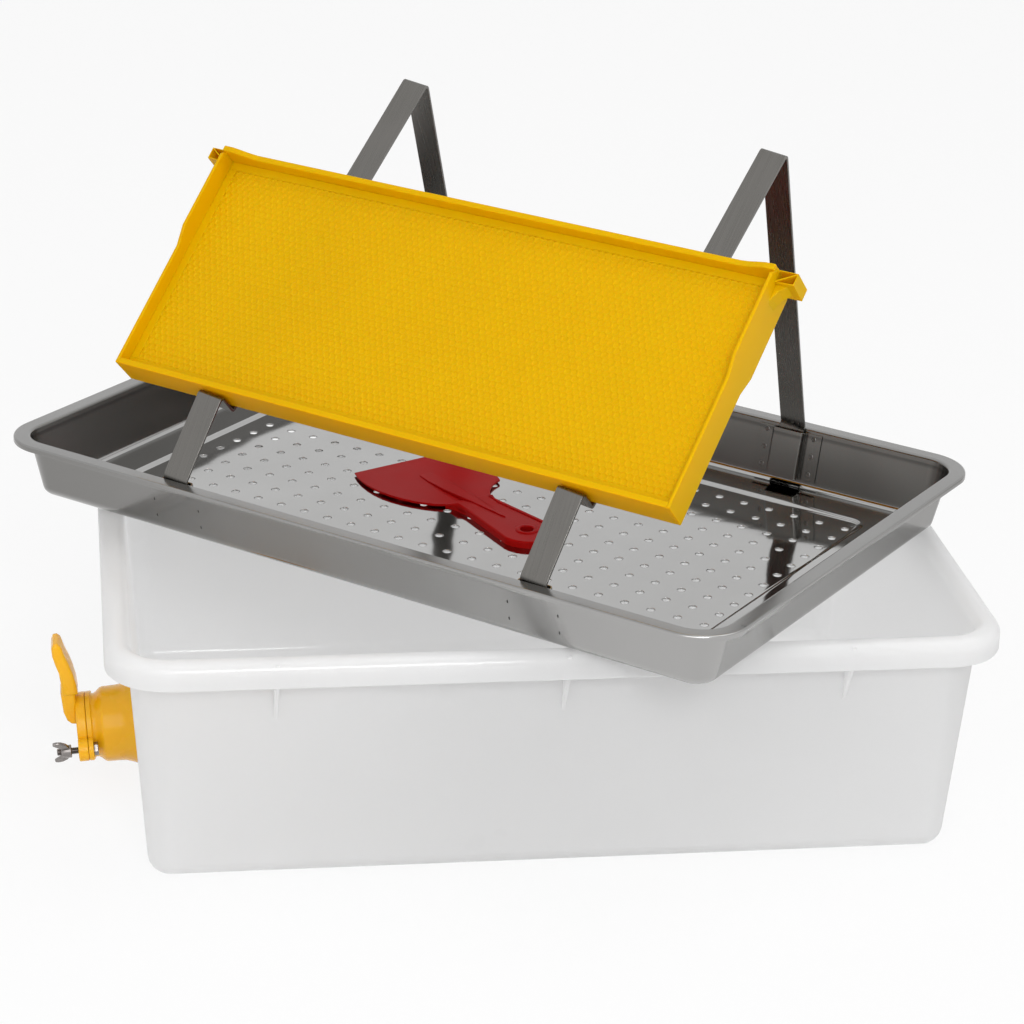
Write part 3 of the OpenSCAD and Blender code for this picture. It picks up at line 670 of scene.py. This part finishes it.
for front in (False, True):
    for side in (-1, 1):
        sleeve_name = ("front_" if front else "rear_") + ("left" if side < 0 else "right") + "_sleeve"
        at_sleeve = (on_tray @ Matrix.Rotation(math.pi if front else 0, 4, "Z")
                     @ Matrix.Translation(((-side if front else side) * rest_pitch / 2,
                                           wall_top - (tray_h - sleeve_foot) * math.tan(wall_lean),
                                           sleeve_foot))
                     @ Matrix.Rotation(-wall_lean, 4, "X"))
        hat = bmesh.new()
        folded(hat, [
            (-sleeve_edge, 0), (-sleeve_half, 0), (-sleeve_half, -sleeve_gap),
            (sleeve_half, -sleeve_gap), (sleeve_half, 0), (sleeve_edge, 0)],
            sleeve_h, dict.fromkeys((1, 2, 3, 4), hat_bend))
        bmesh.ops.transform(hat, verts=hat.verts, matrix=Matrix(
            ((0, 1, 0, 0), (0, 0, 1, 0), (1, 0, 0, sleeve_h / 2), (0, 0, 0, 1))))
        outermost = min(hat.faces, key=lambda f: f.calc_center_median().y)
        if outermost.normal.y > 0:
            bmesh.ops.reverse_faces(hat, faces=hat.faces)
        piece(sleeve_name + "_hat", hat, tray_steel, "tray", [sleeve_name], sharp=50,
              place=at_sleeve,
              before=[("SOLIDIFY", {"thickness": sheet, "offset": 1.0, "use_even_offset": True}),
                      ("BEVEL", {"width": sheet_edge, "segments": 2, "limit_method": "ANGLE"})])
        welds = bmesh.new()
        for across in (-weld_x, weld_x):
            for share in weld_heights:
                spot = bmesh.ops.create_circle(welds, cap_ends=True, segments=16, radius=weld_r)["verts"]
                dimple = faces_at(spot)
                bmesh.ops.transform(welds, verts=spot, matrix=(
                    Matrix.Translation((across, -sheet - weld_lift, share * sleeve_h))
                    @ Matrix.Rotation(math.pi / 2, 4, "X")))
                bmesh.ops.inset_individual(welds, faces=dimple, thickness=weld_ring, depth=weld_rise)
                bmesh.ops.inset_individual(welds, faces=dimple, thickness=weld_ring, depth=-weld_dip)
            for share in weld_heights[:2]:
                bmesh.ops.create_cone(welds, cap_ends=True, segments=12, radius1=mark_r,
                                      radius2=mark_top_r, depth=mark_h, matrix=(
                    Matrix.Translation((across, sheet, share * sleeve_h))
                    @ Matrix.Rotation(-math.pi / 2, 4, "X") @ Matrix.Diagonal((*mark_shape, 1, 1))))
        bmesh.ops.edgeloop_fill(welds, edges=[e for e in welds.edges if e.is_boundary])
        bmesh.ops.recalc_face_normals(welds, faces=welds.faces)
        piece(sleeve_name + "_welds", welds, weld_steel, "tray", place=at_sleeve)


# Each rest is one long strip of satin stainless steel, bent to a notch that takes the frame's lower
# edge, a long sloping arm and a back leg. Its ends are pushed into a front and a rear sleeve.
strip_w, strip_t, strip_edge = 0.020, 0.002, 0.0004
arm_slope = math.radians(44.2)
arm_dir = Vector((math.cos(arm_slope), math.sin(arm_slope)))
arm_up = Vector((-arm_dir.y, arm_dir.x))
strip_fit = 0.0003
insert_depth = (sleeve_gap - strip_t - 3 * strip_fit) / math.tan(wall_lean)
insert_low = sleeve_top + insert_depth
insert_in = insert_low * math.tan(wall_lean)
bend_rise = 0.001
bend_y, bend_z = wall_top - strip_t / 2 - 2 * strip_fit, tray_h + bend_rise
notch = Vector((-0.132, 0.087))
notch_depth, arm_len = 0.021, 0.284
peak = notch + notch_depth * arm_up
apex = notch + arm_len * arm_dir
foot_fold, peak_fold, notch_fold, apex_fold = 0.006, 0.0025, 0.002, 0.0025
rest_lean = math.radians(6)
lean_z = tray_h - sleeve_top - insert_depth / 2

rest_steel, socket, wire = finish("rest_steel", {"Metallic": 1.0})
lines = grain(wire, 16.0, 4.0, (60.0, 1.0, 1.0), (0.0, 0.0, -tray_turn))
patch = grain(wire, 22.0, 3.0)
wire.plug(shades(wire, 0.6 * lines + 0.4 * patch, (0.13, 0.125, 0.117), (0.21, 0.202, 0.190)),
          socket["Base Color"])
wire.plug(0.20 + 0.10 * lines + 0.06 * patch, socket["Roughness"])
wire.plug(relief(wire, lines, 0.10, 0.0004), socket["Normal"])

for side, hand in ((-1, "left"), (1, "right")):
    strip = bmesh.new()
    folded(strip, [
        (-bend_y + insert_in, bend_z - insert_low), (-bend_y, bend_z), peak, notch, apex,
        (bend_y, bend_z), (bend_y - insert_in, bend_z - insert_low)],
        strip_w, {1: foot_fold, 2: peak_fold, 3: notch_fold, 4: apex_fold, 5: foot_fold})
    piece(f"rest_{hand}_strip", strip, rest_steel, f"rest_{hand}",
          [f"frame_rest_{hand}"], sharp=50,
          place=(on_tray @ Matrix.Translation((side * rest_pitch / 2, 0, lean_z))
                 @ Matrix.Rotation(rest_lean, 4, "Y") @ Matrix.Translation((0, 0, -lean_z))),
          before=[("SOLIDIFY", {"thickness": strip_t, "offset": 0.0, "use_even_offset": True}),
                  ("BEVEL", {"width": strip_edge, "segments": 2, "limit_method": "ANGLE"})])


# The hive frame is one moulding of yellow plastic that stands loose in the notches. Thin bars run
# round it, the end bars swell into spacing shoulders, and each end has a ribbed, hollow lug.
frame_play = 0.0003
frame_gap = strip_t / 2 + strip_w / 2 * math.sin(rest_lean) * math.cos(arm_slope) + frame_play
frame_foot = notch + frame_gap * (arm_dir + arm_up)
frame_slide = 0.002
on_rests = (on_tray @ Matrix.Translation((frame_slide, frame_foot.x, frame_foot.y))
            @ Matrix.Rotation(arm_slope - math.pi / 2, 4, "X"))
frame_half, frame_h, frame_t = 0.226, 0.182, 0.025
bar_t, side_t, bar_sunk, top_clear = 0.0045, 0.0025, 0.0003, 0.0001
shoulder_z, shoulder_out, shoulder_drop = 0.54 * frame_h, 0.005, 0.002
shoulder_top = frame_h - shoulder_drop
lug_len, lug_t, lug_h, lug_wall, lug_drop = 0.014, 0.020, 0.009, 0.0011, 0.0003
pocket_draft, pocket_depth = 0.0002, 0.7 * lug_t
gusset_t, gusset_edge = 0.012, 0.0005

surround = bmesh.new()


def bar(bm, outline, thick, place, edge=0.0008):
    """A moulded bar with soft edges, from an outline, in its place."""
    body = slab(bm, outline, thick)
    bmesh.ops.transform(bm, matrix=place, verts=body)
    round_edges(bm, edges_at(body), edge, segments=3)


def oblong(length, width):
    return [(0, 0), (length, 0), (length, width), (0, width)]


inside = frame_half - side_t
for side in (-1, 1):
    bar(surround, [
        (-frame_t, 0), (0, 0), (0, shoulder_z), (shoulder_out, shoulder_z + 3 * shoulder_out),
        (shoulder_out, shoulder_top - shoulder_out), (0, shoulder_top), (0, frame_h),
        (-frame_t, frame_h), (-frame_t, shoulder_top),
        (-frame_t - shoulder_out, shoulder_top - shoulder_out),
        (-frame_t - shoulder_out, shoulder_z + 3 * shoulder_out), (-frame_t, shoulder_z)], side_t,
        Matrix.Translation((inside if side > 0 else -frame_half, 0, 0)) @ end_on)
    lug_x = frame_half - sunk if side > 0 else -frame_half - lug_len
    lug_body = slab(surround, oblong(lug_len + sunk, lug_t), lug_h)
    bmesh.ops.translate(surround, verts=lug_body,
                        vec=(lug_x, -(frame_t + lug_t) / 2, frame_h - lug_h - lug_drop))
    lug_front = min(faces_at(lug_body), key=lambda f: f.calc_center_median().y)
    corners = sorted(lug_front.verts, key=lambda v: side * v.co.x + v.co.z)
    halves = bmesh.ops.connect_verts(surround, verts=[corners[0], corners[-1]])["edges"]
    pockets = list(halves[0].link_faces)
    bmesh.ops.inset_individual(surround, faces=pockets, thickness=lug_wall)
    bmesh.ops.inset_individual(surround, faces=pockets, thickness=pocket_draft, depth=-pocket_depth)
    bar(surround, [(0, 0), (0.009, 0), (0.0040, -0.0045), (0.0015, -0.010), (0, -0.016)], gusset_t,
        Matrix.Translation((side * (frame_half - sunk), -(frame_t - side * gusset_t) / 2, frame_h - lug_h))
        @ Matrix(((side, 0, 0, 0), (0, 0, -side, 0), (0, 1, 0, 0), (0, 0, 0, 1))), gusset_edge)
bmesh.ops.recalc_face_normals(surround, faces=surround.faces)
bar(surround, oblong(2 * inside + 2 * bar_sunk, frame_t), bar_t,
    Matrix.Translation((-inside - bar_sunk, -frame_t, 0)))
swell = [(0.0004, 0.0175), (0.008, 0.0173), (0.014, 0.0158), (0.0215, 0.0136), (0.028, 0.0125)]
quarter = [(frame_half - along_bar, across) for along_bar, across in swell]
bar(surround, quarter + [(-x, y) for x, y in quarter[::-1]] + [(-x, -y) for x, y in quarter]
    + [(x, -y) for x, y in quarter[::-1]], bar_t - top_clear,
    Matrix.Translation((0, -frame_t / 2, frame_h - bar_t)))

# The orange is painted shade for the frame's underside.
yellow, yellow_deep, underside_shade_orange = (0.88, 0.58, 0.0005), (0.82, 0.52, 0.0005), (0.98, 0.55, 0.001)
foot_from, foot_to = 0.0003, 0.0012
frame_plastic, socket, wire = finish("frame_plastic", {
    "Specular IOR Level": 0.10, "Subsurface Weight": 0.25, "Subsurface Scale": 0.003,
    "Subsurface Radius": (1.0, 0.5, 0.02)})
tint = grain(wire, 12.0, 3.0)
frame_up = on_rests.to_3x3() @ Vector((0, 0, 1))
above = wire.node("ShaderNodeVectorMath", {"operation": "DOT_PRODUCT"}, {
    0: wire.node("ShaderNodeTexCoord", output="Object"), 1: frame_up}, "Value")
above = above - frame_up.dot(on_rests.translation)
# Painted shade: about the lowest millimetre of the frame, its underside and lower edges, is coloured a
# deeper orange.
wire.plug(shades(wire, ramp(wire, above, foot_from, foot_to), underside_shade_orange,
                 shades(wire, tint, yellow_deep, yellow)), socket["Base Color"])
wire.plug(0.34 + 0.14 * tint, socket["Roughness"])
wire.plug(relief(wire, grain(wire, 420.0), 0.05, 0.0005), socket["Normal"])
lit_through(wire, 0.28, (0.90, 0.36, 0.001))
piece("frame_surround", surround, frame_plastic, "hive_frame", ["hive_frame"],
      place=on_rests)


# The foundation is the sheet that bees build on: inside a plain border, both its faces are embossed
# with the beginnings of six-sided cells. It is moulded into the frame at half its depth.
cell_pitch, cell_rim, cell_slope, cell_depth, cell_cone = 0.0051, 0.0004, 0.0007, 0.00045, 0.0002
cell_row = cell_pitch * math.sqrt(3) / 2
sheet_t, sheet_clear = 0.004, 0.0001
sheet_x, sheet_z = inside - sheet_clear, frame_h / 2 - bar_t - sheet_clear
border, border_rise, border_edge, overlap = 0.006, 0.0008, 0.0003, 0.0005
border_t = sheet_t + border_rise
comb_x, comb_z = sheet_x - border + overlap, sheet_z - border + overlap
comb = bmesh.new()
bmesh.ops.create_circle(comb, cap_ends=True, segments=6, radius=cell_pitch / math.sqrt(3))
floor = list(comb.faces)
bmesh.ops.inset_individual(comb, faces=floor, thickness=cell_rim)
bmesh.ops.inset_individual(comb, faces=floor, thickness=cell_slope, depth=-cell_depth)
bmesh.ops.poke(comb, faces=floor, offset=-cell_cone)


def repeat(bm, count, move):
    """The whole mesh, count times over, each copy moved on by one more step."""
    first = bm.verts[:] + bm.edges[:] + bm.faces[:]
    for k in range(1, count):
        copy = bmesh.ops.duplicate(bm, geom=first)["geom"]
        bmesh.ops.translate(bm, verts=verts_of(copy), vec=Vector(move) * k)


cols = int(2 * comb_x / cell_pitch) + 3
rows = int(comb_z / cell_row) + 3
repeat(comb, 2, (cell_pitch / 2, cell_row, 0))
repeat(comb, cols, (cell_pitch, 0, 0))
repeat(comb, rows, (0, 2 * cell_row, 0))
bmesh.ops.translate(comb, verts=comb.verts, vec=(
    -(cols - 0.5) * cell_pitch / 2, -(2 * rows - 1) * cell_row / 2, sheet_t / 2))
bmesh.ops.remove_doubles(comb, verts=comb.verts, dist=1e-6)
for cut_at, cut_to in (((comb_x, 0, 0), (1, 0, 0)), ((-comb_x, 0, 0), (-1, 0, 0)),
                       ((0, comb_z, 0), (0, 1, 0)), ((0, -comb_z, 0), (0, -1, 0))):
    bmesh.ops.bisect_plane(comb, geom=comb.verts[:] + comb.edges[:] + comb.faces[:],
                           plane_co=cut_at, plane_no=cut_to, clear_outer=True)
face_side = comb.verts[:] + comb.edges[:] + comb.faces[:]
edge_side = bmesh.ops.extrude_edge_only(comb, edges=[e for e in comb.edges if e.is_boundary])["geom"]
back_side = bmesh.ops.duplicate(comb, geom=face_side)["geom"]
bmesh.ops.scale(comb, verts=verts_of(edge_side) + verts_of(back_side), vec=(1, 1, -1))
bmesh.ops.remove_doubles(comb, verts=comb.verts, dist=1e-6)
bmesh.ops.recalc_face_normals(comb, faces=comb.faces)
for quarters in range(4):
    reach, span = (sheet_x, sheet_z - border) if quarters % 2 else (sheet_z, sheet_x)
    bar(comb, oblong(2 * span, border), border_t, Matrix.Rotation(quarters * math.pi / 2, 4, "Z")
        @ Matrix.Translation((-span, reach - border, -border_t / 2)), border_edge)
piece("foundation_cells", comb, frame_plastic, "hive_frame", ["foundation_sheet"],
      sharp=25, place=on_rests @ Matrix.Translation((0, -frame_t / 2, frame_h / 2))
      @ Matrix.Rotation(math.pi / 2, 4, "X"))


# The scraper is a loose hand tool moulded in red plastic: a fan-shaped blade that thins to its edge,
# and a flat handle with a spine, a ridge along one edge and a ring round the hole that it hangs by.
scraper_x, scraper_y, scraper_turn = -0.0133, -0.0016, math.radians(-22)
lie_gap = 0.00005
on_panel = (on_tray @ Matrix.Translation((scraper_x, scraper_y, sheet + lie_gap))
            @ Matrix.Rotation(scraper_turn, 4, "Z"))
blade_len, blade_half, handle_len = 0.096, 0.052, 0.088
neck_half, grip_half = 0.015, 0.021
plate_z, plate_t, grip_t, rib_h = 0.0014, 0.0016, 0.005, 0.001
hang_r, hang_x = 0.005, handle_len - 0.55 * 2 * grip_half
flank_shift = 0.004
waist = blade_half + flank_shift
flank = arc((neck_half - flank_shift, waist), waist - neck_half, 200, 270, 10)
near_axis, near_r = (-0.0659, 0.0297), 0.0775
grip_from, fan_to, grip_end = -0.012, -0.010, handle_len - grip_half
grip_edge, plate_edge, spine_edge, ridge_edge = 0.0016, 0.0003, 0.0016, 0.0009
rib_sunk = 0.0001


def upper_edges(verts, height):
    """The edges at the vertices that lie above a height."""
    return [e for e in edges_at(verts) if min(v.co.z for v in e.verts) > height]


def let_down(verts, height, drop, start, run):
    """Slopes what lies above a height down to the blade's edge: by drop, from start, over run."""
    for v in verts:
        if v.co.z > height:
            v.co.z -= drop * max(0.0, min(1.0, (start - v.co.x) / run))


scraper = bmesh.new()
grip = slab(scraper, [(x, -y) for x, y in flank if x > grip_from] + [(grip_end, -grip_half)]
            + arc((grip_end, 0), grip_half, -80, 80, 16) + [(grip_end, grip_half)]
            + [(x, y) for x, y in flank[::-1] if x > grip_from], grip_t)
let_down(grip, 0, 0.0021, 0, 0.010)
round_edges(scraper, upper_edges(grip, 0.001), grip_edge, segments=4)
hole_cutter = bmesh.new()
drum(hole_cutter, hang_r, 4 * grip_t, (hang_x, 0, -grip_t), segments=40)
scraper = bored(scraper, hole_cutter)
fan = slab(scraper, arc(near_axis, near_r, 247.6, 314, 10) + [(x, -y) for x, y in flank if x > fan_to]
           + flank[::-1] + [(-0.6 * blade_len, blade_half), (-blade_len, blade_half - 0.001)], plate_t)
bmesh.ops.translate(scraper, verts=fan, vec=(0, 0, plate_z))
let_down(fan, plate_z + plate_t / 2, 0.0009, -0.55 * blade_len, 0.45 * blade_len)
round_edges(scraper, upper_edges(fan, plate_z + 0.0005), plate_edge, segments=2)
spine_half = [(-0.064, 0.0050), (-0.050, 0.0064), (-0.030, 0.0066), (-0.010, 0.0054), (0.012, 0.0034),
              (0.030, 0.0015), (0.038, 0.0006)]
ridge = [(-0.002, 0.0136), (0.012, 0.0114), (0.066, 0.0172), (0.066, 0.0204), (0.012, 0.0147)]
spine = spine_half + [(x, -y) for x, y in spine_half[::-1]]
for outline, edge in ((spine, spine_edge), (ridge, ridge_edge)):
    rib = slab(scraper, outline, grip_t + rib_h - plate_z - 2 * rib_sunk)
    bmesh.ops.translate(scraper, verts=rib, vec=(0, 0, plate_z + rib_sunk))
    let_down(rib, grip_t, 0.0024, 0.004, 0.060)
    bmesh.ops.recalc_face_normals(scraper, faces=faces_at(rib))
    round_edges(scraper, upper_edges(rib, plate_z + 0.001), edge, segments=3)
boss = turned(scraper, [
    (hang_r + 0.0001, 0.003), (hang_r + 0.0034, 0.003), (hang_r + 0.0034, grip_t + 0.0002),
    (hang_r + 0.0026, grip_t + 0.0008), (hang_r + 0.0012, grip_t + 0.00095),
    (hang_r + 0.0001, grip_t + 0.0005)], steps=40)
bmesh.ops.translate(scraper, verts=boss, vec=(hang_x, 0, 0))

red, red_deep = (0.45, 0.005, 0.005), (0.38, 0.004, 0.004)
scraper_plastic, socket, wire = finish("scraper_plastic", {
    "Specular IOR Level": 0.05, "Subsurface Weight": 0.1, "Subsurface Scale": 0.002,
    "Subsurface Radius": (1.0, 0.15, 0.1)})
scuff = grain(wire, 30.0, 4.0)
wire.plug(shades(wire, scuff, red_deep, red), socket["Base Color"])
wire.plug(0.26 + 0.18 * scuff, socket["Roughness"])
wire.plug(relief(wire, grain(wire, 500.0), 0.08, 0.0005), socket["Normal"])
piece("red_scraper", scraper, scraper_plastic, "scraper", ["scraper"],
      place=on_panel)


# The studio: a white floor and a white wall behind it, a large soft light overhead, a larger one
# from the front, a small flash above the camera and to its right, and a long lens.
def board(name, size, place):
    mesh = bpy.data.meshes.new(name)
    bm = bmesh.new()
    bmesh.ops.create_grid(bm, x_segments=2, y_segments=2, size=size / 2, matrix=place)
    bm.to_mesh(mesh)
    bm.free()
    made = bpy.data.objects.new(name, mesh)
    bpy.context.scene.collection.objects.link(made)
    return made


def seen(wire):
    """1 on rays that show the background: straight, mirrored or passed on."""
    path = wire.node("ShaderNodeLightPath")
    ways = {o.name: Wire(wire.tree, o) for o in path.socket.node.outputs}
    straight = wire.sum("MAXIMUM", ways["Is Camera Ray"], ways["Is Glossy Ray"])
    return wire.sum("MAXIMUM", straight, ways["Is Transmission Ray"])


white_paper = bpy.data.materials.new("white_paper")
white_paper.use_nodes = True
paper = Wire(white_paper.node_tree)
white_paper.node_tree.nodes.clear()
matt = paper.node("ShaderNodeBsdfDiffuse", {}, {"Color": (0.86, 0.86, 0.86, 1.0)})
glow = paper.node("ShaderNodeEmission", {}, {"Color": (1.0, 1.0, 1.0, 1.0), "Strength": 1.0})
both = paper.node("ShaderNodeMixShader", {}, {0: 0.86 * seen(paper), 1: matt, 2: glow})
paper.node("ShaderNodeOutputMaterial", {}, {"Surface": both})
paper_size, floor_drop, wall_back = 14.0, 0.0004, 3.4
board("floor", paper_size, Matrix.Translation((0, 0, -floor_drop))).data.materials.append(white_paper)
board("wall", paper_size, Matrix.Translation((0, wall_back, 0)) @ Matrix.Rotation(math.pi / 2, 4, "X")
      ).data.materials.append(white_paper)

room = bpy.data.worlds.new("room")
bpy.context.scene.world = room
room.use_nodes = True
air = Wire(room.node_tree)
room.node_tree.nodes.clear()
dim = air.node("ShaderNodeBackground", {}, {"Color": (0.60, 0.60, 0.604, 1.0), "Strength": 1.0})
clear = air.node("ShaderNodeBackground", {}, {"Color": (1.0, 1.0, 1.0, 1.0), "Strength": 1.0})
shown = air.node("ShaderNodeMixShader", {}, {0: seen(air), 1: dim, 2: clear})
air.node("ShaderNodeOutputWorld", {}, {"Surface": shown})


def softbox(name, size, watts, place, target):
    lamp = bpy.data.lights.new(name, "AREA")
    lamp.size = size
    lamp.energy = watts
    made = bpy.data.objects.new(name, lamp)
    bpy.context.scene.collection.objects.link(made)
    made.location = place
    made.rotation_euler = (Vector(target) - Vector(place)).to_track_quat("-Z", "Y").to_euler()


softbox("overhead", 1.8, 15.0, (0.9, -0.2, 2.6), (0, 0, 0.1))
softbox("front", 2.2, 26.0, (-0.9, -2.8, 1.7), (0, 0, 0.1))
softbox("flash", 0.5, 14.0, (0.05, -2.1, 1.5), (0, 0, 0.15))

camera = bpy.data.cameras.new("camera")
sensor_mm, focal_px, photo_px = 36.0, 3027.2, 1024
camera.sensor_width = sensor_mm
camera.lens = focal_px / photo_px * sensor_mm
camera_at = (-0.3134, -1.9556, 1.0019)
yaw, pitch, roll = 0.15351, 0.38995, -0.034939
ahead = Vector((math.sin(yaw) * math.cos(pitch), math.cos(yaw) * math.cos(pitch), -math.sin(pitch)))
level = Vector((math.cos(yaw), -math.sin(yaw), 0))
down = ahead.cross(level)
right = math.cos(roll) * level + math.sin(roll) * down
below = math.cos(roll) * down - math.sin(roll) * level
stand = Matrix((right, -below, -ahead)).transposed().to_4x4()
eye = bpy.data.objects.new("camera", camera)
bpy.context.scene.collection.objects.link(eye)
eye.matrix_world = Matrix.Translation(camera_at) @ stand
bpy.context.scene.camera = eye
bpy.context.scene.view_settings.view_transform = "Standard"
